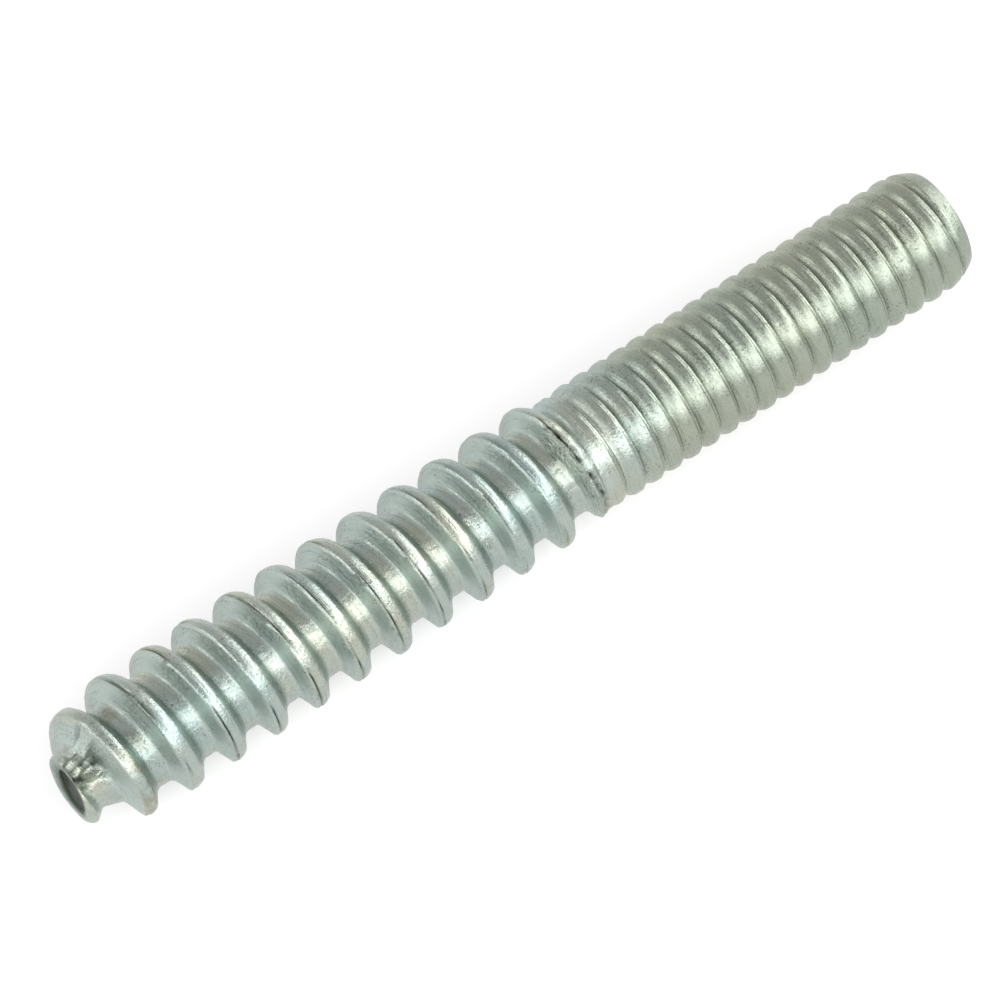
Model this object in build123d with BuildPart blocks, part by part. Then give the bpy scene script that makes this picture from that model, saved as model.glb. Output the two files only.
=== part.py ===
from build123d import *
import math
import os

# Hanger bolt: a headless steel fastener, rolled from one rod. A coarse wood-screw thread covers
# one end and a machine thread the other. Both are right-handed, and they meet at a low collar
# with no plain shank between them.
#
# The bolt lies on its side along X, wood tip at -X and machine end at +X. The origin is on the
# ground under the middle of its length, +Z is up, and the crests of the thicker thread touch
# Z = 0. Angles about the axis are in degrees, from +Y towards +Z. Sizes are in millimetres.

# ---- machine thread: 5/16 in, 18 turns to the inch -------------------------------------------
MACHINE_LENGTH = 27.4        # from the collar's edge to the end face
MACHINE_DIAMETER = 7.94      # over the crests
MACHINE_THREAD_DEPTH = 0.78  # crest to root
MACHINE_PITCH = 25.4 / 18
MACHINE_CREST_WIDTH = 0.30
MACHINE_FLANK_ANGLE = 30.0   # each flank, from square to the axis
MACHINE_END_ANGLE = 261.0    # where the crest runs out through the end face
CROWN_LENGTH = 2.2           # rounded lead-in at the machine end
CROWN_DROP = 0.67            # how far the crown pulls the end face's rim in
CROWN_START_RISE = 0.02      # how far above the crests the crown's arc sets out

# ---- wood thread -----------------------------------------------------------------------------
WOOD_LENGTH = 37.6           # from the tip face to the collar's edge
WOOD_DIAMETER = 8.70         # over the crests
WOOD_THREAD_DEPTH = 1.19     # crest to root
WOOD_PITCH = 3.01
WOOD_CREST_WIDTH = 0.34
WOOD_FLANK_ANGLE = 36.0      # each flank, from square to the axis
WOOD_START_ANGLE = 111.0     # where the crest would run out through the tip face
TIP_DIAMETER = 3.5           # flat face of the cut-off point
TIP_TAPER_LENGTH = 6.2       # over which the root swells to its full diameter
SWELL_START_DIAMETER = 3.9   # over the crest at the tip face
SWELL_LENGTH = 7.5           # over which the crest swells to its full diameter
SWELL_POWER = 4.0            # a higher power swells it sooner
FADE_LENGTH = 1.9            # over which the crest sinks into the collar
FADE_BURIAL = 0.03           # how far under the collar's surface it ends

# ---- collar, where the two threads meet ------------------------------------------------------
COLLAR_DIAMETER = 7.66
COLLAR_LENGTH = 0.5
COLLAR_SHOULDER = 0.9        # slope from the wood thread's root up to the collar

# ---- how the ridges are built ----------------------------------------------------------------
ROOT_OVERLAP = 0.3           # how far the wood ridge is let into the rod
MACHINE_ROOT_OVERLAP = 0.12  # the same for the machine ridge, whose turns stand closer
RUN_PAST = 0.25              # of a turn, by which a ridge overruns the face that cuts it off
SECTIONS_PER_TURN = 10       # where a ridge changes its size
LONGEST_LOFT = 0.9           # of a turn
LONGEST_SWEEP = 5.0          # turns

WOOD_RADIUS = WOOD_DIAMETER / 2
WOOD_ROOT_RADIUS = WOOD_RADIUS - WOOD_THREAD_DEPTH
WOOD_SLOPE = math.tan(math.radians(WOOD_FLANK_ANGLE))
MACHINE_RADIUS = MACHINE_DIAMETER / 2
MACHINE_ROOT_RADIUS = MACHINE_RADIUS - MACHINE_THREAD_DEPTH
MACHINE_SLOPE = math.tan(math.radians(MACHINE_FLANK_ANGLE))
COLLAR_RADIUS = COLLAR_DIAMETER / 2
TIP_RADIUS = TIP_DIAMETER / 2
END_RADIUS = MACHINE_RADIUS - CROWN_DROP
LENGTH = WOOD_LENGTH + MACHINE_LENGTH
TIP_X = -LENGTH / 2
END_X = LENGTH / 2
BLANK_END_X = END_X + 2 * RUN_PAST * MACHINE_PITCH
COLLAR_X = TIP_X + WOOD_LENGTH
SHOULDER_X = COLLAR_X - COLLAR_LENGTH
SWELL_END_X = TIP_X + SWELL_LENGTH
FADE_START_X = COLLAR_X - FADE_LENGTH
MACHINE_START_X = SHOULDER_X
AXIS_HEIGHT = max(WOOD_RADIUS, MACHINE_RADIUS)
BOLT_AXIS = Axis((0, 0, AXIS_HEIGHT), (1, 0, 0))
HALF_SECTION = Plane((0, 0, AXIS_HEIGHT), x_dir=(1, 0, 0), z_dir=(0, -1, 0))


def still_to_go(x, end_x, length):
    """1 to 0 along the stretch of this length that ends at end_x, and level on both sides."""
    return min(max((end_x - x) / length, 0.0), 1.0)


def wood_ridge_radii(x):
    """Foot, let into the rod, and crest of the wood thread's ridge at a place along the bolt."""
    taper = still_to_go(x, TIP_X + TIP_TAPER_LENGTH, TIP_TAPER_LENGTH) ** 2
    swell = still_to_go(x, SWELL_END_X, SWELL_LENGTH) ** SWELL_POWER
    fade = max(x - FADE_START_X, 0.0) / FADE_LENGTH
    foot = WOOD_ROOT_RADIUS - (WOOD_ROOT_RADIUS - TIP_RADIUS) * taper - ROOT_OVERLAP
    crest = WOOD_RADIUS - (WOOD_RADIUS - SWELL_START_DIAMETER / 2) * swell
    return foot, crest - (WOOD_RADIUS - COLLAR_RADIUS + FADE_BURIAL) * fade


def radial_plane(x, pitch, known_x, known_angle):
    """Plane through the axis and the crest at x: local X is the radius, local Y runs along it.

    The thread is right-handed, and its crest is at known_angle at known_x.
    """
    turned = math.radians(known_angle + 360 * (x - known_x) / pitch)
    c, s = math.cos(turned), math.sin(turned)
    return Plane((x, 0, AXIS_HEIGHT), x_dir=(0, c, s), z_dir=(0, s, -c))


def wood_plane(x):
    return radial_plane(x, WOOD_PITCH, TIP_X, WOOD_START_ANGLE)


def machine_plane(x):
    return radial_plane(x, MACHINE_PITCH, END_X, MACHINE_END_ANGLE)


def along_axis(start_plane):
    """The same place and direction of radius, but square to the bolt's axis."""
    return Plane(start_plane.origin, x_dir=start_plane.x_dir, z_dir=(1, 0, 0))


def ridge_outline(foot, crest, crest_width, slope):
    """Corners of a ridge's section."""
    half_crest = crest_width / 2
    half_foot = half_crest + (crest - foot) * slope
    return (foot, -half_foot), (crest, -half_crest), (crest, half_crest), (foot, half_foot)


def level_stretches(first_x, last_x, pitch):
    """Starts and common length of the sweeps that make up a ridge of constant size."""
    count = math.ceil((last_x - first_x) / (LONGEST_SWEEP * pitch))
    length = (last_x - first_x) / count
    return [first_x + length * k for k in range(count)], length


def changing_stretches():
    """Ends of the lofts that make up the wood thread's swelling start and its fading end."""
    first_x = TIP_X - RUN_PAST / 2 * WOOD_PITCH
    count = math.ceil((SWELL_END_X - first_x) / (LONGEST_LOFT * WOOD_PITCH))
    step = (SWELL_END_X - first_x) / count
    stretches = [(first_x + step * k, first_x + step * (k + 1)) for k in range(count)]
    return stretches + [(FADE_START_X, COLLAR_X)]


# ---- stretches of the two level ridges, each standing on its start, with its axis along Z -----
level_wood_starts, level_wood_length = level_stretches(SWELL_END_X, FADE_START_X, WOOD_PITCH)
with BuildPart() as level_wood_ridge:
    with BuildLine():
        Helix(WOOD_PITCH, level_wood_length, WOOD_RADIUS)
    with BuildSketch(Plane.XZ):
        with BuildLine():
            foot, crest = wood_ridge_radii(SWELL_END_X)
            Polyline(*ridge_outline(foot, crest, WOOD_CREST_WIDTH, WOOD_SLOPE), close=True)
        make_face()
    sweep(is_frenet=True)

# these start inside the collar and overrun the end face
machine_starts, machine_stretch_length = level_stretches(
    MACHINE_START_X, END_X + RUN_PAST * MACHINE_PITCH, MACHINE_PITCH
)
with BuildPart() as machine_ridge:
    with BuildLine():
        Helix(MACHINE_PITCH, machine_stretch_length, MACHINE_RADIUS)
    with BuildSketch(Plane.XZ):
        with BuildLine():
            foot = MACHINE_ROOT_RADIUS - MACHINE_ROOT_OVERLAP
            Polyline(
                *ridge_outline(foot, MACHINE_RADIUS, MACHINE_CREST_WIDTH, MACHINE_SLOPE),
                close=True,
            )
        make_face()
    sweep(is_frenet=True)

# ---- the bolt --------------------------------------------------------------------------------
with BuildPart() as hanger_bolt:
    # the rod under both threads, turned from its half-section
    with BuildSketch(HALF_SECTION):
        with BuildLine():
            taper_end = (TIP_X + TIP_TAPER_LENGTH, WOOD_ROOT_RADIUS)
            TangentArc(taper_end, (TIP_X, TIP_RADIUS), tangent=(-1, 0))
            Polyline(
                taper_end,
                (SHOULDER_X - COLLAR_SHOULDER, WOOD_ROOT_RADIUS),
                (SHOULDER_X, COLLAR_RADIUS),
                (COLLAR_X, COLLAR_RADIUS),
                (COLLAR_X + (COLLAR_RADIUS - MACHINE_ROOT_RADIUS) * MACHINE_SLOPE, MACHINE_ROOT_RADIUS),
                (BLANK_END_X, MACHINE_ROOT_RADIUS),
                (BLANK_END_X, 0),
                (TIP_X, 0),
                (TIP_X, TIP_RADIUS),
            )
        make_face()
    revolve(axis=BOLT_AXIS)

    # wood thread: the level stretch of its ridge
    for x in level_wood_starts:
        with Locations(along_axis(wood_plane(x))):
            add(level_wood_ridge.part)

    # its swelling start and its fading end, lofted through sections about the axis
    for first_x, last_x in changing_stretches():
        count = math.ceil((last_x - first_x) / WOOD_PITCH * SECTIONS_PER_TURN)
        for k in range(count + 1):
            x = first_x + (last_x - first_x) * k / count
            foot, crest = wood_ridge_radii(x)
            with BuildSketch(wood_plane(x)):
                with BuildLine():
                    Polyline(*ridge_outline(foot, crest, WOOD_CREST_WIDTH, WOOD_SLOPE), close=True)
                make_face()
        loft()

    # machine thread
    for x in machine_starts:
        with Locations(along_axis(machine_plane(x))):
            add(machine_ridge.part)

    # both ends cut to length, the machine end with its rounded crown
    with BuildSketch(HALF_SECTION):
        with BuildLine():
            crown_start = (END_X - CROWN_LENGTH, MACHINE_RADIUS + CROWN_START_RISE)
            TangentArc(crown_start, (END_X, END_RADIUS), tangent=(1, 0))
            Polyline(
                (END_X, END_RADIUS),
                (END_X, 0),
                (BLANK_END_X + MACHINE_PITCH, 0),
                (BLANK_END_X + MACHINE_PITCH, MACHINE_RADIUS + MACHINE_THREAD_DEPTH),
                (END_X - CROWN_LENGTH, MACHINE_RADIUS + MACHINE_THREAD_DEPTH),
                crown_start,
            )
        make_face()
    revolve(axis=BOLT_AXIS, mode=Mode.SUBTRACT)
    split(bisect_by=Plane((TIP_X, 0, 0), z_dir=(1, 0, 0)), keep=Keep.TOP)

hanger_bolt.part.label = "hanger_bolt"
os.makedirs("parts", exist_ok=True)
export_step(hanger_bolt.part, "parts/hanger_bolt.step")
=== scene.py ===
import math

import bpy
import numpy as np
from bpy.props import FloatProperty, FloatVectorProperty, PointerProperty
from mathutils import Matrix, Vector, noise


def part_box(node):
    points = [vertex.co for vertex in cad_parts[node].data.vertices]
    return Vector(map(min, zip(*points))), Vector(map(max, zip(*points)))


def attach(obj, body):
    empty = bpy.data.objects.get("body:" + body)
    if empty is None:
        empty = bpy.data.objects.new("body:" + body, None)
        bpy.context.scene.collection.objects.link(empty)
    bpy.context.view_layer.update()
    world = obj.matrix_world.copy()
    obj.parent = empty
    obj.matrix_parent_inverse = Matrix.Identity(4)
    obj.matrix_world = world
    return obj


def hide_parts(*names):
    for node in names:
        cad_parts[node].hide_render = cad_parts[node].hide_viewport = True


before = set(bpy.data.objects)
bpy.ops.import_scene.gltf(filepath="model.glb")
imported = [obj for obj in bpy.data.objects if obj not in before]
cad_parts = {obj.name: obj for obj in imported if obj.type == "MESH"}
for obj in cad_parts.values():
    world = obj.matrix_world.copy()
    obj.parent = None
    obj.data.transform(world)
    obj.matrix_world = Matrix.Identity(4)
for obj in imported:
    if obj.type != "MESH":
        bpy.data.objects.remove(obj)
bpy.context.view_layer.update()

bl_info = {
    "name": "Hanger bolt",
    "version": (1, 0, 0),
    "blender": (4, 5, 0),
    "location": "View3D > Sidebar > Hanger bolt",
    "description": "Dresses the hanger bolt with its rolled threads, zinc plating and studio",
    "category": "Object",
}

NODE = "hanger_bolt"
LOW, HIGH = (Vector(corner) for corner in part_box(NODE))
TIP_X, END_X = LOW.x, HIGH.x
AXIS_Z = (LOW.z + HIGH.z) / 2
MM = 0.001
ROWS = 20           # mesh rows across one turn of either thread
COLUMNS = 136       # mesh columns round the bolt
# the first mask paints shade into seams, gaps and the tip's hollow; the last gives the flanks a
# satin finish and a painted sheen
MASKS = ("seam", "rough", "satin_and_sheen")
NOISE_GAIN = 1.8    # brings Blender's noise to about -1 to 1
NOISE_RADIUS = 3.5  # radius in millimetres of the cylinder on which the skin's noise is taken
UV_RADIUS = 4.0     # radius in millimetres at which the texture's length is measured


# ---- sizes and colours -----------------------------------------------------------------------
def length_value(name, default_mm, description):
    return FloatProperty(name=name, default=default_mm * MM, unit="LENGTH", precision=5,
                         description=description)


def angle_value(name, default_degrees, description):
    return FloatProperty(name=name, default=math.radians(default_degrees), subtype="ANGLE",
                         description=description)


def colour_value(name, default, description):
    return FloatVectorProperty(name=name, default=default, subtype="COLOR", size=3, min=0, max=1,
                               description=description)


class HangerBoltSizes(bpy.types.PropertyGroup):
    wood_pitch: length_value("Wood pitch", 3.02, "Distance between turns of the wood thread")
    wood_radius: length_value("Wood radius", 4.315, "Axis to the wood thread's crest")
    wood_root: length_value("Wood root", 3.17, "Axis to the wood thread's root")
    wood_crest: length_value("Wood crest", 0.44, "Width of the flat on the wood thread's crest")
    wood_bevel: length_value("Wood bevel", 0.34, "Width of the worn bevel on the crest's head side")
    wood_start_angle: angle_value("Wood start", 110.1, "Where the wood thread leaves the tip face")
    wood_tip_flank: angle_value("Tip-side flank", 28, "Lean of the wood thread's tip-side flank")
    wood_head_flank: angle_value("Head-side flank", 31, "Lean of the wood thread's head-side flank")
    tip_radius: length_value("Tip radius", 1.75, "Radius of the cut-off tip's face")
    tip_lean: length_value("Tip lean", 0.25, "How much further the cut-off tip reaches on one side")
    tip_lean_angle: angle_value("Lean side", 204.9, "Side on which the tip reaches further")
    crumple_angle: angle_value("Crumple side", 106, "Side of the tip with the deepest creases")
    lap_angle: angle_value("Lap", 76, "Where the last turn of the wood thread tears off")
    taper_length: length_value("Taper", 6.2, "Length over which the root tapers to the tip")
    swell_length: length_value("Swell", 7.5, "Length over which the crest swells from the tip")
    machine_pitch: FloatProperty(
        name="Machine pitch", default=0.0254 / 18, unit="LENGTH", precision=5,
        description="Distance between turns of the machine thread")
    machine_radius: length_value("Machine radius", 3.965, "Axis to the machine thread's crest")
    machine_root: length_value("Machine root", 3.58, "Axis to the machine thread's root")
    machine_bulge: length_value("Machine bulge", 0.62, "Radius of the rounded machine crest")
    machine_end_angle: angle_value("Machine end", 238, "Where the machine thread meets the end face")
    machine_length: length_value("Machine length", 27.4, "End face to the collar's edge")
    collar_radius: length_value("Collar radius", 3.83, "Radius of the collar between the threads")
    crown_length: length_value("Crown", 2.2, "Length of the rounded machine end")
    end_radius: length_value("End radius", 3.30, "Radius of the machine end's flat face")


class HangerBoltLooks(bpy.types.PropertyGroup):
    zinc: colour_value("Zinc", (0.42, 0.465, 0.42), "Bright zinc plating")
    zinc_cool: colour_value(
        "Cool tint", (0.36, 0.44, 0.42), "Blue-green tint of the passivated zinc")
    zinc_warm: colour_value(
        "Warm tint", (0.45, 0.47, 0.38), "Warm tint of the passivated zinc")
    zinc_olive: colour_value(
        "Olive tint", (0.315, 0.345, 0.27), "Yellower plating on the machine thread")
    # teal tint of the flanks, made paler as painted light that lifts the shade the neighbouring
    # turns throw on them
    flank_tint_and_sheen: colour_value(
        "Pale tint", (0.43, 0.50, 0.465), "Pale satin plating on the wood thread's flanks")
    stain: colour_value(
        "Stain", (0.27, 0.265, 0.185), "Brown stains on the first turns at the tip")
    # dark colour for the real specks and streaks, and for the painted shade in seams, the lap's gap
    # and the tip's hollow
    grime_and_shade: colour_value("Grime and shade", (0.03, 0.042, 0.026), "Dark seams and specks")
    floor: colour_value("Floor", (0.60, 0.60, 0.60), "Floor and backdrop")


# ---- shape of the bolt -----------------------------------------------------------------------
def smooth_step(value):
    value = np.clip(value, 0.0, 1.0)
    return value * value * (3 - 2 * value)


def soft_max(a, b, width):
    """The larger of two, with the corner rounded over this width."""
    gap = np.clip(0.5 + 0.5 * (a - b) / width, 0, 1)
    return b + (a - b) * gap + width * gap * (1 - gap) * 0.5


def soft_min(a, b, width):
    return -soft_max(-a, -b, width)


def bell(away, width):
    return np.exp(-(away / width) ** 2)


def band(value, low, fade_in, high, fade_out):
    """1 between low and high, fading in above low and out below high."""
    return smooth_step((value - low) / fade_in) * smooth_step((high - value) / fade_out)


def wander(along, scale, seed):
    """Smooth noise of about -1 to 1 along a line."""
    flat = np.asarray(along).ravel() * scale
    values = [noise.noise(Vector((float(v), seed * 7.31, seed * 1.7))) for v in flat]
    return np.array(values).reshape(np.shape(along)) * NOISE_GAIN


def lumps(x, angle, scale, seed):
    """Smooth noise of about -1 to 1 over the bolt's skin; scale is in lumps per millimetre."""
    round_it = NOISE_RADIUS * np.cos(angle), NOISE_RADIUS * np.sin(angle)
    place = np.stack([x / MM, *round_it], axis=1) * scale
    values = [noise.noise(Vector(p) + Vector((seed * 3.7, seed, 0))) for p in place]
    return np.array(values) * NOISE_GAIN


def wood_rows(s):
    """Distances of the mesh rows from the wood thread's crest, in metres."""
    half = s.wood_crest / 2
    tip_side = np.linspace(-1.2 * MM, -half - 0.2 * MM, 5)
    crest = np.linspace(-half - 0.1 * MM, half, 7)
    bevel = half + s.wood_bevel * np.array([0.3, 0.65, 1.0])
    head_side = half + s.wood_bevel + np.array([0.17, 0.33, 0.48]) * MM
    root = np.array([1.3 * MM, s.wood_pitch / 2])
    return np.concatenate([tip_side, crest, bevel, head_side, root])


def machine_rows(s):
    """Distances of the mesh rows from the machine thread's crest, in metres."""
    crest = np.linspace(-0.62, 0.14, 10) * MM
    lips = np.linspace(0.2, 0.58, 8) * MM
    return np.concatenate([crest, lips, [0.64 * MM, s.machine_pitch / 2]])


class BoltShape:
    """Radius of the bolt's skin by place along it and angle round it, in metres."""

    # the tip: its turns lie nearer to it, its face leans, and it is crumpled where it was cut
    TURN_SHIFT = 0.30 * MM
    SHIFT_REACH, SHIFT_FADE = 8.5 * MM, 5 * MM
    LAST_SHIFT_REACH, LAST_SHIFT_FADE = 2.6 * MM, 2 * MM
    LEAN_REACH = 1.6 * MM
    TORN_REACH = 4.5 * MM
    TIP_CREST = 2.45 * MM
    CRUMPLE_REACH, CRUMPLE_FADE, CRUMPLE_START = 2.5 * MM, 0.8 * MM, 0.5 * MM
    # the wood thread fades out before the collar, where its core widens into a neck
    FADE_LENGTH, FADE_DROP = 1.9 * MM, 0.55 * MM
    NECK_START, NECK_LENGTH = 1.4 * MM, 0.9 * MM
    # the wood crest: its worn bevel, and the seam that rolling leaves between two lips
    BEVEL_SLOPE = 0.5
    TIP_FLANK_START = 0.06 * MM
    SEAM_PLACE, SEAM_WIDTH, SEAM_DEPTH = -0.15 * MM, 0.065 * MM, 0.07 * MM
    LIP_PLACE, LIP_WIDTH, LIP_HEIGHT = 0.14 * MM, 0.07 * MM, 0.045 * MM
    ROOT_CURVE_TIP_SIDE, ROOT_CURVE_HEAD_SIDE = 0.42 * MM, 0.14 * MM
    # the lap, which climbs towards the machine end over a share of one turn
    LAP_START, LAP_CLIMB, LAP_SHARE = 1.85 * MM, 4.3 * MM, 0.33
    LAP_WIDTH, LAP_DEPTH = 0.15 * MM, 0.22 * MM
    FLAKES_PLACE, FLAKES_WIDTH, FLAKES_HEIGHT = 0.35 * MM, 0.55 * MM, 0.07 * MM
    # the machine thread: its first turns, its bulging crest, and the seam on its head side
    RUN_IN_LENGTH, RUN_IN_DROP = 1.8 * MM, 0.12 * MM
    COLLAR_EDGE = math.radians(30)
    BULGE_PLACE = 0.02 * MM
    FINE_SEAM_PLACE, FINE_SEAM_WIDTH, FINE_SEAM_DEPTH = 0.38 * MM, 0.05 * MM, 0.02 * MM
    FINE_LIP_HEIGHT = 0.08 * MM
    # the rounded end, and how far the skin stays inside the box of the solids
    CROWN_LIFT = 0.005 * MM
    CLEARANCE = 0.005 * MM

    def __init__(self, sizes):
        self.s = s = sizes
        self.collar_x = END_X - s.machine_length
        self.start = s.wood_start_angle / math.tau
        # the machine thread's turns are counted on from the wood thread's
        end = s.machine_end_angle / math.tau
        neck_x = self.collar_x - self.NECK_START
        meet = (neck_x - TIP_X) / s.wood_pitch + self.start
        self.end = end + round(meet + (END_X - neck_x) / s.machine_pitch - end)
        self.blend = ((END_X - TIP_X) + s.wood_pitch * self.start - s.machine_pitch * self.end)
        self.blend /= s.wood_pitch - s.machine_pitch

    def tip_shift(self, x):
        """The last turns of the wood thread lie a little nearer to the tip."""
        from_tip = x - TIP_X
        first = smooth_step((self.SHIFT_REACH - from_tip) / self.SHIFT_FADE)
        last = smooth_step((self.LAST_SHIFT_REACH - from_tip) / self.LAST_SHIFT_FADE)
        return -self.TURN_SHIFT * first - self.TURN_SHIFT * last

    def lean(self, x, angle):
        """The tip is cut off a little askew."""
        close = smooth_step(1 - (x - TIP_X) / self.LEAN_REACH)
        return self.s.tip_lean / 2 * (1 - np.cos(angle - self.s.tip_lean_angle)) * close

    def place(self, turn, row, angle):
        """Place along the bolt of a mesh row, whose lines follow both threads."""
        s = self.s
        even = turn + (row + 1) / ROWS - 0.5 + angle / math.tau
        x_wood = TIP_X + s.wood_pitch * (turn + angle / math.tau - self.start) + wood_rows(s)[row]
        x_wood = x_wood + self.tip_shift(x_wood)
        x_machine = END_X + s.machine_pitch * (turn + angle / math.tau - self.end)
        x_machine = x_machine + machine_rows(s)[row]
        share = smooth_step((even - self.blend) / 0.5 + 0.5)
        return np.clip(x_wood * (1 - share) + x_machine * share, TIP_X, END_X)

    def crest_distance(self, x, angle, origin, pitch, phase):
        """Signed distance along the bolt from the nearest crest, and the place along it."""
        turns = (x - origin) / pitch + phase - angle / math.tau
        return (turns - np.round(turns)) * pitch, np.round(turns) + angle / math.tau

    def wood_ridge(self, away, along, crest, torn):
        """The wood thread's section, worn and with its rolling seam, and the seam's mask, which
        paints shade into it.
        """
        s = self.s
        half = s.wood_crest / 2 * (1 - 0.5 * torn)
        bevel = crest - (away - half) * self.BEVEL_SLOPE
        head = crest - s.wood_bevel * self.BEVEL_SLOPE
        head = head - (away - half - s.wood_bevel) / math.tan(s.wood_head_flank)
        tip = crest + (away + half + self.TIP_FLANK_START) / math.tan(s.wood_tip_flank)
        ridge = soft_min(crest, bevel, 0.10 * MM)
        ridge = soft_min(ridge, head, 0.12 * MM)
        ridge = soft_min(ridge, tip, 0.16 * MM)
        line = self.SEAM_PLACE + wander(along, 15, seed=4) * 0.04 * MM
        # the seam's mask paints shade into the groove between the lips
        seam = bell(away - line, self.SEAM_WIDTH + 0.025 * MM * wander(along, 31, seed=6))
        seam = seam * smooth_step(0.6 + wander(along, 9, seed=5)) * (1 - torn)
        lips = bell(away - line + self.LIP_PLACE, self.LIP_WIDTH)
        lips = lips + bell(away - line - self.LIP_PLACE, self.LIP_WIDTH)
        return ridge - seam * self.SEAM_DEPTH + lips * (1 - torn) * self.LIP_HEIGHT, seam

    def crumple(self, x, angle):
        """Height of the folds at the cut-off tip, with its creases on one side, and their mask."""
        from_tip = x - TIP_X
        creases = 0.35 - np.abs(lumps(x, angle, 0.95, seed=21))
        folds = lumps(x, angle, 0.9, seed=10) * 0.20 + lumps(x, angle, 2.1, seed=11) * 0.11
        side = 0.08 + 0.92 * smooth_step(1.7 - np.abs(angle - self.s.crumple_angle) / 0.5)
        crumpled = smooth_step((self.CRUMPLE_REACH - from_tip) / self.CRUMPLE_FADE) * side
        start = np.clip(from_tip / self.CRUMPLE_START, 0, 1)
        return (folds + creases * 0.50) * MM * crumpled * start, crumpled

    def lap(self, x, angle):
        """Masks of the gap and of the flakes where the last turn tears off against the collar."""
        share = (angle / math.tau - self.s.lap_angle / math.tau) % 1.0
        away = x - (self.collar_x - self.LAP_START + self.LAP_CLIMB * share)
        away = away - wander(angle, 6, seed=22) * 0.09 * MM
        beside = band(share, 0, 0.03, self.LAP_SHARE, 0.05)
        flakes = bell(away + self.FLAKES_PLACE, self.FLAKES_WIDTH) * beside
        return bell(away, self.LAP_WIDTH) * beside, flakes

    def wood_skin(self, x, angle):
        """Wood thread, its tip and the collar, with masks for the painted shade in seams, for rough
        places and for the flanks' satin and painted sheen.
        """
        s = self.s
        from_tip = x - TIP_X
        straight = x - self.tip_shift(x)
        away, along = self.crest_distance(straight, angle, TIP_X, s.wood_pitch, self.start)
        torn = smooth_step(1.2 - from_tip / self.TORN_REACH)
        taper = np.clip(1 - from_tip / s.taper_length, 0, 1) ** 2
        root = s.wood_root - (s.wood_root - s.tip_radius) * taper
        swell = np.clip(1 - from_tip / s.swell_length, 0, 1) ** 4
        crest = s.wood_radius - (s.wood_radius - self.TIP_CREST) * swell
        crest = crest + wander(along, 3.1, seed=1) * 0.018 * MM
        crest = crest + wander(along, 17, seed=2) * 0.01 * MM
        fade = np.clip((x - (self.collar_x - self.FADE_LENGTH)) / self.FADE_LENGTH, 0, 2)
        crest = crest - self.FADE_DROP * fade
        crest = crest + wander(along, 26, seed=3) * 0.08 * MM * smooth_step(fade * 3)
        ridge, seam = self.wood_ridge(away, along, crest, torn)
        curve = np.where(away < 0, self.ROOT_CURVE_TIP_SIDE, self.ROOT_CURVE_HEAD_SIDE)
        skin = soft_max(ridge, root, curve)
        skin = skin + lumps(x, angle, 2.2, seed=8) * 0.012 * MM
        skin = skin + lumps(x, angle, 0.8, seed=9) * 0.012 * MM
        folds, crumpled = self.crumple(x, angle)
        skin = skin + folds
        shoulder = (x - (self.collar_x - self.NECK_START)) / self.NECK_LENGTH
        neck = s.wood_root + (s.collar_radius - s.wood_root) * np.minimum(shoulder, 1)
        skin = soft_max(skin, neck, 0.06 * MM)
        gap, flakes = self.lap(x, angle)
        skin = skin - gap * self.LAP_DEPTH
        skin = skin + flakes * lumps(x, angle, 2.4, seed=23) * self.FLAKES_HEIGHT
        # darker patches over the crumpled tip, given through the seam mask
        dark_patches = smooth_step(lumps(x, angle, 1.5, seed=25) * 2 + 0.1)
        # painted shade in the gap where the last turn tears off
        seam = np.maximum(seam, gap * smooth_step(0.55 + 0.7 * wander(angle, 7, seed=24)))
        seam = np.maximum(seam, 0.9 * crumpled * dark_patches)
        rough = np.maximum(0.3 * crumpled, flakes)
        # the flanks are satin, and their mask also paints a paler sheen on them
        tip_flank = band(-away, 0.25 * MM, 0.2 * MM, 1.1 * MM, 0.3 * MM)
        head_flank = band(away, 0.6 * MM, 0.15 * MM, 1.1 * MM, 0.1 * MM)
        satin_and_sheen = np.maximum(tip_flank, 0.6 * head_flank)
        return skin, seam, rough, satin_and_sheen * (1 - rough)

    def machine_skin(self, x, angle):
        """Machine thread with broad, half-filled crests, and the rounded end."""
        s = self.s
        away, along = self.crest_distance(x, angle, END_X, s.machine_pitch, self.end)
        run_in = np.clip(1 - (x - self.collar_x) / self.RUN_IN_LENGTH, 0, 1)
        crest = s.machine_radius - self.RUN_IN_DROP * run_in
        crest = crest + wander(along, 5, seed=12) * 0.006 * MM
        bulge = crest - (away - self.BULGE_PLACE) ** 2 / (2 * s.machine_bulge)
        line = self.FINE_SEAM_PLACE + wander(along, 4, seed=13) * 0.03 * MM
        lips = bell(away - line + 0.12 * MM, 0.09 * MM)
        lips = lips + 0.8 * bell(away - line - 0.13 * MM, 0.08 * MM)
        strength = smooth_step(0.75 + wander(along, 7, seed=14) * 0.6)
        seam = bell(away - line, self.FINE_SEAM_WIDTH) * strength
        bulge = bulge + (lips * self.FINE_LIP_HEIGHT - seam * self.FINE_SEAM_DEPTH) * strength
        skin = soft_max(bulge, s.machine_root, 0.05 * MM)
        skin = skin + lumps(x, angle, 1.3, seed=15) * 0.006 * MM
        edge = s.collar_radius - (x - self.collar_x) / math.tan(self.COLLAR_EDGE)
        skin = np.maximum(skin, edge)
        drop = s.machine_radius - s.end_radius
        curve = (s.crown_length ** 2 + drop ** 2) / (2 * drop)
        into = np.clip(s.crown_length - (END_X - x), 0, s.crown_length)
        crown = s.machine_radius - curve + np.sqrt(curve ** 2 - into ** 2)
        skin = soft_min(skin, crown + self.CROWN_LIFT, 0.03 * MM)
        # the seam mask paints shade into the fine seam on the machine crest
        return skin, seam * 0.3, 0.7 * into / s.crown_length, np.zeros_like(skin)

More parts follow.
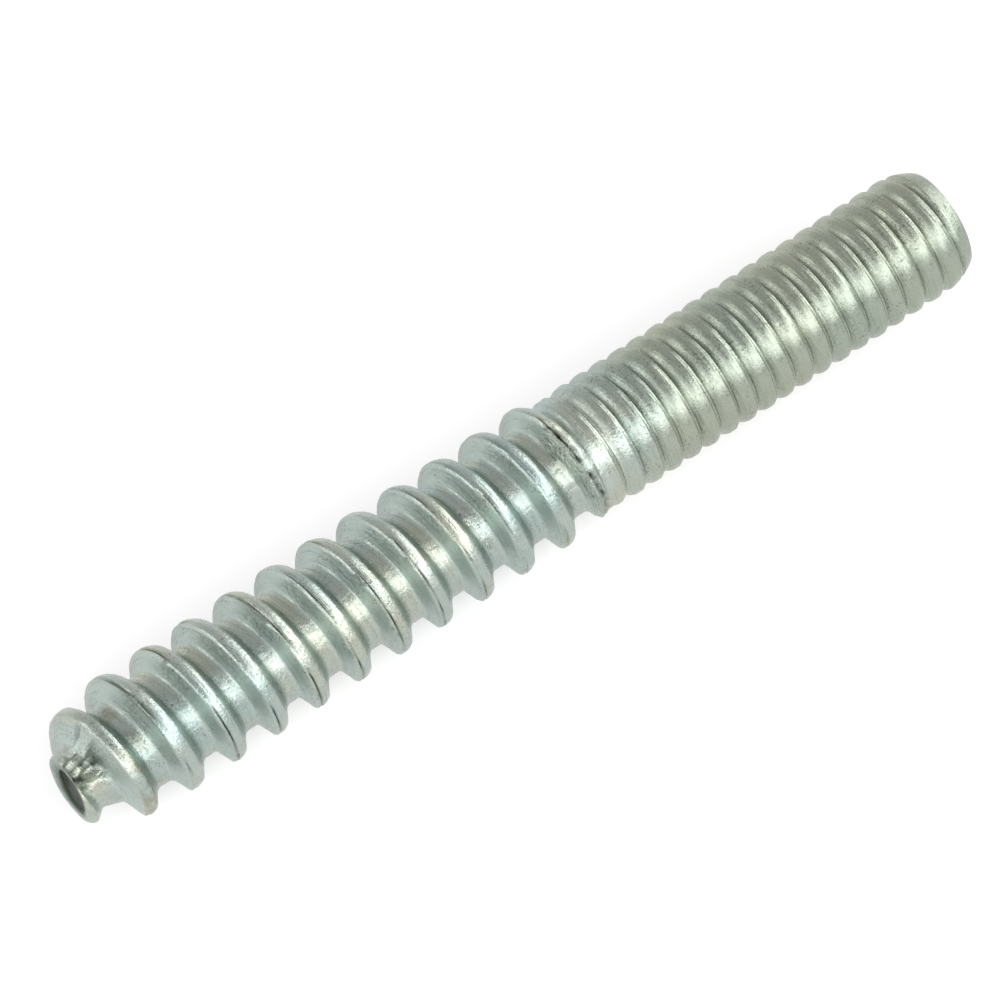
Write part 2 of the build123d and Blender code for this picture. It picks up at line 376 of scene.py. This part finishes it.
    def skin(self, x, angle):
        """Skin radius, and masks for the painted shade in seams, the torn places and the satin
        flanks with their painted sheen.
        """
        is_machine = x > self.collar_x
        both = zip(self.machine_skin(x, angle), self.wood_skin(x, angle))
        radius, *masks = (np.where(is_machine, machine, wood) for machine, wood in both)
        return np.minimum(radius, (HIGH.z - LOW.z) / 2 - self.CLEARANCE), masks


def deselect():
    for obj in bpy.context.selected_objects:
        obj.select_set(False)


def thread_sheet(shape):
    """A flat grid laid round the bolt along both threads, with its masks by vertex."""
    first_turn = -1
    last_turn = math.ceil(shape.end) + 1
    rows = (last_turn - first_turn) * ROWS
    deselect()
    bpy.ops.mesh.primitive_grid_add(x_subdivisions=COLUMNS, y_subdivisions=rows, size=2,
                                    location=(0, 0, 0), calc_uvs=True)
    sheet = bpy.context.active_object
    mesh = sheet.data
    flat = np.zeros(len(mesh.vertices) * 3)
    mesh.vertices.foreach_get("co", flat)
    flat = flat.reshape(-1, 3)
    column = np.rint((flat[:, 0] + 1) / 2 * COLUMNS).astype(int)
    line = np.rint((flat[:, 1] + 1) / 2 * rows).astype(int)
    turn, row = first_turn + line // ROWS, line % ROWS
    angle = column / COLUMNS * math.tau
    x = shape.place(turn, row, angle)
    radius, masks = shape.skin(x, angle)
    points = np.stack([x + shape.lean(x, angle), radius * np.cos(angle),
                       AXIS_Z + radius * np.sin(angle)], axis=1)
    mesh.vertices.foreach_set("co", points.ravel())
    for name, values in zip(MASKS, masks):
        attribute = mesh.attributes.new(name, "FLOAT", "POINT")
        attribute.data.foreach_set("value", values.astype(np.float32))
    lay_texture_space(mesh, shape.s.wood_pitch, x, angle, first_turn, line)
    return sheet


def lay_texture_space(mesh, pitch, x, angle, first_turn, line):
    """Texture space in millimetres: along the thread, and across it from its crest."""
    vertex_of = np.zeros(len(mesh.loops), dtype=int)
    mesh.loops.foreach_get("vertex_index", vertex_of)
    # the grid's faces have four corners each, and a face belongs to the turn of its lowest line
    lowest = np.repeat(line[vertex_of].reshape(-1, 4).min(axis=1), 4)
    turns = first_turn + lowest // ROWS
    share = angle[vertex_of] / math.tau
    along = (turns + share) * math.tau * UV_RADIUS
    across = (x / MM)[vertex_of] - turns * pitch / MM - share * pitch / MM
    layer = mesh.uv_layers.active
    layer.name = "along_thread"
    layer.data.foreach_set("uv", np.stack([along, across], axis=1).ravel())


# ---- materials -------------------------------------------------------------------------------
OLIVE_START = 0.004, 0.012      # X in metres over which the machine thread's tint comes in
STAIN_START = -0.0300, -0.0290  # X over which the stains near the tip come in
STAIN_END = -0.0285, -0.0270    # X over which they go out again
FLOOR_GLOW = 0.45               # how brightly the floor shows to the camera
FLOOR_IN_METAL = 0.72           # share of that which the metal mirrors
RELIEF_HEIGHT = 0.000034        # height in metres of the plating's relief


class Nodes:
    """Short ways of adding nodes to one tree."""

    def __init__(self, tree):
        self.tree = tree
        self.link = tree.links.new

    def add(self, kind, **settings):
        node = self.tree.nodes.new(kind)
        for key, value in settings.items():
            if key in node.inputs.keys():
                node.inputs[key].default_value = value
            else:
                setattr(node, key, value)
        return node

    def math(self, operation, first, second):
        node = self.add("ShaderNodeMath", operation=operation)
        for socket, value in zip(node.inputs, (first, second)):
            if isinstance(value, float):
                socket.default_value = value
            else:
                self.link(value, socket)
        return node.outputs[0]

    def noise(self, vector, scale, detail, roughness=0.55):
        node = self.add("ShaderNodeTexNoise", Scale=scale, Detail=detail, Roughness=roughness)
        self.link(vector, node.inputs["Vector"])
        return node.outputs["Fac"]

    def steps(self, value, low, high, to_low=0.0, to_high=1.0):
        node = self.add("ShaderNodeMapRange", interpolation_type="SMOOTHSTEP")
        for name, amount in (("From Min", low), ("From Max", high),
                             ("To Min", to_low), ("To Max", to_high)):
            node.inputs[name].default_value = amount
        self.link(value, node.inputs["Value"])
        return node.outputs["Result"]

    def mask(self, name):
        return self.add("ShaderNodeAttribute", attribute_name=name).outputs["Fac"]

    def tint(self, colour, towards, amount):
        node = self.add("ShaderNodeMix", data_type="RGBA")
        self.link(amount, node.inputs["Factor"])
        self.link(colour, node.inputs["A"])
        node.inputs["B"].default_value = (*towards, 1)
        return node.outputs["Result"]

    def split(self, vector):
        node = self.add("ShaderNodeSeparateXYZ")
        self.link(vector, node.inputs["Vector"])
        return node.outputs


def new_material(name):
    material = bpy.data.materials.new(name)
    material.use_nodes = True
    material.node_tree.nodes.clear()
    return material, Nodes(material.node_tree)


def plating_tints(nodes, place, looks):
    """Broad tints of the passivated plating."""
    ramp = nodes.add("ShaderNodeValToRGB")
    ramp.color_ramp.elements[0].position = 0.36
    ramp.color_ramp.elements[0].color = (*looks.zinc_cool, 1)
    ramp.color_ramp.elements[1].position = 0.66
    ramp.color_ramp.elements[1].color = (*looks.zinc_warm, 1)
    middle = ramp.color_ramp.elements.new(0.5)
    middle.color = (*looks.zinc, 1)
    nodes.link(nodes.noise(place, scale=160.0, detail=3.0), ramp.inputs["Fac"])
    return ramp.outputs["Color"]


def zinc_material(looks):
    material, nodes = new_material("zinc_plated_steel")
    out = nodes.add("ShaderNodeOutputMaterial")
    shader = nodes.add("ShaderNodeBsdfPrincipled", Metallic=1.0)
    nodes.link(shader.outputs["BSDF"], out.inputs["Surface"])
    place = nodes.add("ShaderNodeTexCoord").outputs["Object"]
    thread = nodes.add("ShaderNodeUVMap", uv_map="along_thread").outputs["UV"]
    # streaks that rolling draws out along the thread
    drawn = nodes.add("ShaderNodeMapping")
    drawn.inputs["Scale"].default_value = (0.30, 9.0, 1.0)
    nodes.link(thread, drawn.inputs["Vector"])
    streaks = nodes.noise(drawn.outputs["Vector"], scale=1.0, detail=4.0, roughness=0.65)
    hammered = nodes.noise(place, scale=4600.0, detail=3.0, roughness=0.6)
    grain = nodes.noise(place, scale=11000.0, detail=2.0)
    # tints of the plating, with stains near the tip, grime in the pits and painted shade in the
    # seams
    patches = nodes.steps(nodes.noise(place, scale=420.0, detail=2.0), 0.42, 0.62)
    pits = nodes.steps(nodes.noise(place, scale=6500.0, detail=3.0), 0.56, 0.66)
    pits = nodes.math("MULTIPLY", nodes.math("MULTIPLY", pits, patches), 0.55)
    dull = nodes.math("MULTIPLY", nodes.steps(streaks, 0.50, 0.72), 0.22)
    along_bolt = nodes.split(place)["X"]
    on_machine = nodes.steps(along_bolt, *OLIVE_START, to_high=0.7)
    near_tip = nodes.math("MULTIPLY", nodes.steps(along_bolt, *STAIN_START),
                          nodes.steps(along_bolt, *STAIN_END, to_low=1.0, to_high=0.0))
    stains = nodes.steps(nodes.noise(place, scale=900.0, detail=3.0), 0.40, 0.58)
    stains = nodes.math("MULTIPLY", near_tip, stains)
    off_flanks = nodes.math("SUBTRACT", 0.7, nodes.math("MULTIPLY", nodes.mask("satin_and_sheen"), 0.7))
    colour = nodes.tint(plating_tints(nodes, place, looks), looks.zinc_olive, on_machine)
    # painted light: the flanks get a paler tint that lifts the shade the neighbouring turns throw on
    # them
    colour = nodes.tint(colour, looks.flank_tint_and_sheen, nodes.mask("satin_and_sheen"))
    colour = nodes.tint(colour, looks.stain, nodes.math("MULTIPLY", stains, off_flanks))
    colour = nodes.tint(colour, looks.grime_and_shade, nodes.math("MAXIMUM", pits, dull))
    # painted shade: the seam mask darkens the crest seams, the lap's gap and the tip's hollow, and
    # darker patches on the crumpled tip
    colour = nodes.tint(colour, looks.grime_and_shade, nodes.math("MULTIPLY", nodes.mask("seam"), 0.9))
    nodes.link(colour, shader.inputs["Base Color"])
    rough = nodes.math("ADD", nodes.steps(hammered, 0.3, 0.7, to_low=0.16, to_high=0.32),
                       nodes.steps(streaks, 0.35, 0.65, to_high=0.10))
    rough = nodes.math("ADD", rough, nodes.math("MULTIPLY", nodes.mask("satin_and_sheen"), 0.12))
    nodes.link(rough, shader.inputs["Roughness"])
    # relief: hammered dimples, drawn streaks and fine grain, stronger where the skin is torn
    smoother = nodes.math("SUBTRACT", 1.0, on_machine)
    relief = nodes.math("ADD", nodes.math("MULTIPLY", hammered, smoother),
                        nodes.math("MULTIPLY", streaks, 0.9))
    relief = nodes.math("ADD", relief, nodes.math("MULTIPLY", grain, 0.3))
    more = nodes.math("ADD", nodes.math("MULTIPLY", nodes.mask("rough"), 1.5), 1.0)
    calm = nodes.math("SUBTRACT", 1.0, nodes.math("MULTIPLY", nodes.mask("satin_and_sheen"), 0.35))
    relief = nodes.math("MULTIPLY", relief, nodes.math("MULTIPLY", more, calm))
    bump = nodes.add("ShaderNodeBump", Strength=1.0, Distance=RELIEF_HEIGHT)
    nodes.link(relief, bump.inputs["Height"])
    nodes.link(bump.outputs["Normal"], shader.inputs["Normal"])
    return material


def floor_material(looks):
    """Pale floor that shows brighter to the camera and in the metal, and lights nothing else."""
    material, nodes = new_material("floor")
    out = nodes.add("ShaderNodeOutputMaterial")
    diffuse = nodes.add("ShaderNodeBsdfDiffuse")
    diffuse.inputs["Color"].default_value = (*looks.floor, 1)
    glow = nodes.add("ShaderNodeEmission")
    ray = nodes.add("ShaderNodeLightPath").outputs
    direct = nodes.math("MAXIMUM", ray["Is Camera Ray"], ray["Is Transmission Ray"])
    mirrored = nodes.math("MULTIPLY", ray["Is Glossy Ray"], FLOOR_IN_METAL)
    seen = nodes.math("MAXIMUM", direct, mirrored)
    nodes.link(nodes.math("MULTIPLY", seen, FLOOR_GLOW), glow.inputs["Strength"])
    both = nodes.add("ShaderNodeAddShader")
    nodes.link(diffuse.outputs[0], both.inputs[0])
    nodes.link(glow.outputs[0], both.inputs[1])
    nodes.link(both.outputs[0], out.inputs["Surface"])
    return material


# ---- operators -------------------------------------------------------------------------------
class HANGER_OT_bolt(bpy.types.Operator):
    """Build the bolt's skin with both rolled threads and dress it in zinc"""
    bl_idname = "hanger.bolt"
    bl_label = "Bolt"

    END_FACE_SIDES = 20     # only the two end faces have as many sides as this
    # the hollow's steps: share to which the face shrinks, and its move in millimetres
    HOLLOW = ((0.95, (0.03, 0, 0)), (0.74, (0.05, -0.30, -0.14)),
              (0.92, (0.13, 0, 0)), (0.50, (0.07, 0, 0)))

    def execute(self, context):
        shape = BoltShape(context.scene.hanger_sizes)
        bolt = thread_sheet(shape)
        bolt.name = "rolled_bolt"
        bpy.ops.object.mode_set(mode="EDIT")
        bpy.ops.mesh.select_all(action="SELECT")
        bpy.ops.mesh.remove_doubles(threshold=2e-6)
        bpy.ops.mesh.dissolve_degenerate(threshold=1e-6)
        bpy.ops.mesh.select_all(action="DESELECT")
        bpy.ops.mesh.select_non_manifold()
        bpy.ops.mesh.fill_holes(sides=0)
        first, around = self.hollow_tip(bolt)
        bpy.ops.mesh.select_all(action="SELECT")
        bpy.ops.mesh.normals_make_consistent(inside=False)
        bpy.ops.object.mode_set(mode="OBJECT")
        self.paint_hollow_shade(bolt, first, around)
        bpy.ops.object.shade_smooth_by_angle(angle=math.radians(50))
        bolt.data.materials.clear()
        bolt.data.materials.append(zinc_material(context.scene.hanger_looks))
        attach(bolt, "root")
        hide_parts(NODE)
        return {"FINISHED"}

    def hollow_tip(self, bolt):
        """Push a hollow into the tip's face; gives the first vertex and the size of its rings."""
        bpy.ops.mesh.select_all(action="DESELECT")
        bpy.ops.object.mode_set(mode="OBJECT")
        ends = [face for face in bolt.data.polygons if len(face.vertices) >= self.END_FACE_SIDES]
        face = min(ends, key=lambda end: end.center.x)
        face.select = True
        rings = len(bolt.data.vertices), len(face.vertices)
        bpy.ops.object.mode_set(mode="EDIT")
        bpy.ops.mesh.select_mode(type="FACE")
        for share, move in self.HOLLOW:
            self.step_in(share, move)
        return rings

    def step_in(self, share, move_mm):
        """Extrude the selected face, shrink it to a share about the tip's axis and move it."""
        bpy.ops.mesh.extrude_region_move()
        bpy.ops.transform.resize(value=(1, share, share), center_override=(TIP_X, 0, AXIS_Z))
        bpy.ops.transform.translate(value=Vector(move_mm) * MM)

    def paint_hollow_shade(self, bolt, first, around):
        """Paints shade into the hollow, its edge less so, and makes both rough."""
        masks = bolt.data.attributes
        for index in range(first + around, len(bolt.data.vertices)):
            inside = index >= first + 2 * around
            # painted shade: darkest on the hollow's floor, lighter on its edge
            masks["seam"].data[index].value = 1.1 if inside else 0.8
            masks["rough"].data[index].value = 1.0


class HANGER_OT_stage(bpy.types.Operator):
    """Set the floor, the lights and the camera"""
    bl_idname = "hanger.stage"
    bl_label = "Stage"

    FLOOR_SIZE, FLOOR_GAP = 3, 0.00002
    # azimuth, elevation, width, height and power of each light
    LIGHTS = {
        "front": (24, 38.5, 2.3, 0.54, 9.2),
        "left": (-61, 22, 0.5, 0.42, 1.7),
        "right": (98, 22, 0.6, 0.5, 2.6),
        "side": (-112, 20, 0.7, 0.35, 1.6),
    }
    LIGHT_DISTANCE = 0.8
    # where the camera stands and, from the bolt's middle, what it looks at, in millimetres
    CAMERA_AZIMUTH, CAMERA_ELEVATION, CAMERA_ROLL = -36.693, 59.9435, -0.00133
    CAMERA_DISTANCE = 529.307
    CAMERA_AIM = -2.410, -2.381, 5.542
    CAMERA_LENS, CAMERA_SENSOR = 324, 36

    def execute(self, context):
        centre = Vector(((TIP_X + END_X) / 2, 0, AXIS_Z))
        self.add_floor(context)
        self.add_world(context)
        for name, light in self.LIGHTS.items():
            self.add_light(context, name, centre, *light)
        self.add_camera(context, centre)
        return {"FINISHED"}

    def add_floor(self, context):
        """Plain floor, a hair under the bolt"""
        deselect()
        location = 0, 0, LOW.z - self.FLOOR_GAP
        bpy.ops.mesh.primitive_plane_add(size=self.FLOOR_SIZE, location=location)
        floor = context.active_object
        floor.name = "floor"
        floor.data.materials.append(floor_material(context.scene.hanger_looks))

    def add_world(self, context):
        """White light from all round, a little weaker from above"""
        world = bpy.data.worlds.new("studio")
        context.scene.world = world
        world.use_nodes = True
        nodes = Nodes(world.node_tree)
        background = world.node_tree.nodes["Background"]
        background.inputs["Color"].default_value = (1, 1, 1, 1)
        height = nodes.split(nodes.add("ShaderNodeTexCoord").outputs["Generated"])["Z"]
        strength = nodes.steps(height, 0.25, 0.95, to_low=0.76, to_high=0.60)
        nodes.link(strength, background.inputs["Strength"])

    def add_light(self, context, name, centre, azimuth, elevation, width, height, power):
        """Soft rectangle of light, facing the bolt"""
        toward = direction(azimuth, elevation)
        bpy.ops.object.light_add(type="AREA", location=centre + toward * self.LIGHT_DISTANCE)
        light = context.active_object
        light.name = name
        light.data.shape = "RECTANGLE"
        light.data.size, light.data.size_y = width, height
        light.data.energy = power
        light.rotation_euler = toward.to_track_quat("Z", "Y").to_euler()

    def add_camera(self, context, centre):
        """Long lens, looking down on the bolt"""
        toward = direction(self.CAMERA_AZIMUTH, self.CAMERA_ELEVATION)
        aim = centre + Vector(self.CAMERA_AIM) * MM
        bpy.ops.object.camera_add(location=aim + toward * self.CAMERA_DISTANCE * MM)
        camera = context.active_object
        camera.name = "camera"
        camera.rotation_euler = (toward.to_track_quat("Z", "Y").to_matrix()
                                 @ Matrix.Rotation(self.CAMERA_ROLL, 3, "Z")).to_euler()
        camera.data.lens = self.CAMERA_LENS
        camera.data.sensor_width = self.CAMERA_SENSOR
        camera.data.clip_start = 0.01
        context.scene.camera = camera


def direction(azimuth, elevation):
    """Unit vector from the bolt; azimuth 0 is -Y, and positive turns to +X."""
    a, e = math.radians(azimuth), math.radians(elevation)
    return Vector((math.sin(a) * math.cos(e), -math.cos(a) * math.cos(e), math.sin(e)))


class HANGER_PT_panel(bpy.types.Panel):
    """Sizes, colours and steps of the hanger bolt"""
    bl_idname = "HANGER_PT_panel"
    bl_label = "Hanger bolt"
    bl_space_type = "VIEW_3D"
    bl_region_type = "UI"
    bl_category = "Hanger bolt"

    def draw(self, context):
        for group in (context.scene.hanger_sizes, context.scene.hanger_looks):
            for name in group.__annotations__:
                self.layout.prop(group, name)
        for operator in (HANGER_OT_bolt, HANGER_OT_stage):
            self.layout.operator(operator.bl_idname)


CLASSES = (HangerBoltSizes, HangerBoltLooks, HANGER_OT_bolt, HANGER_OT_stage, HANGER_PT_panel)


def register():
    for cls in CLASSES:
        bpy.utils.register_class(cls)
    bpy.types.Scene.hanger_sizes = PointerProperty(type=HangerBoltSizes)
    bpy.types.Scene.hanger_looks = PointerProperty(type=HangerBoltLooks)


def unregister():
    del bpy.types.Scene.hanger_looks
    del bpy.types.Scene.hanger_sizes
    for cls in reversed(CLASSES):
        bpy.utils.unregister_class(cls)


def main():
    register()
    bpy.context.scene.view_settings.view_transform = "Standard"
    bpy.ops.hanger.bolt()
    bpy.ops.hanger.stage()


if __name__ == "__main__":
    main()
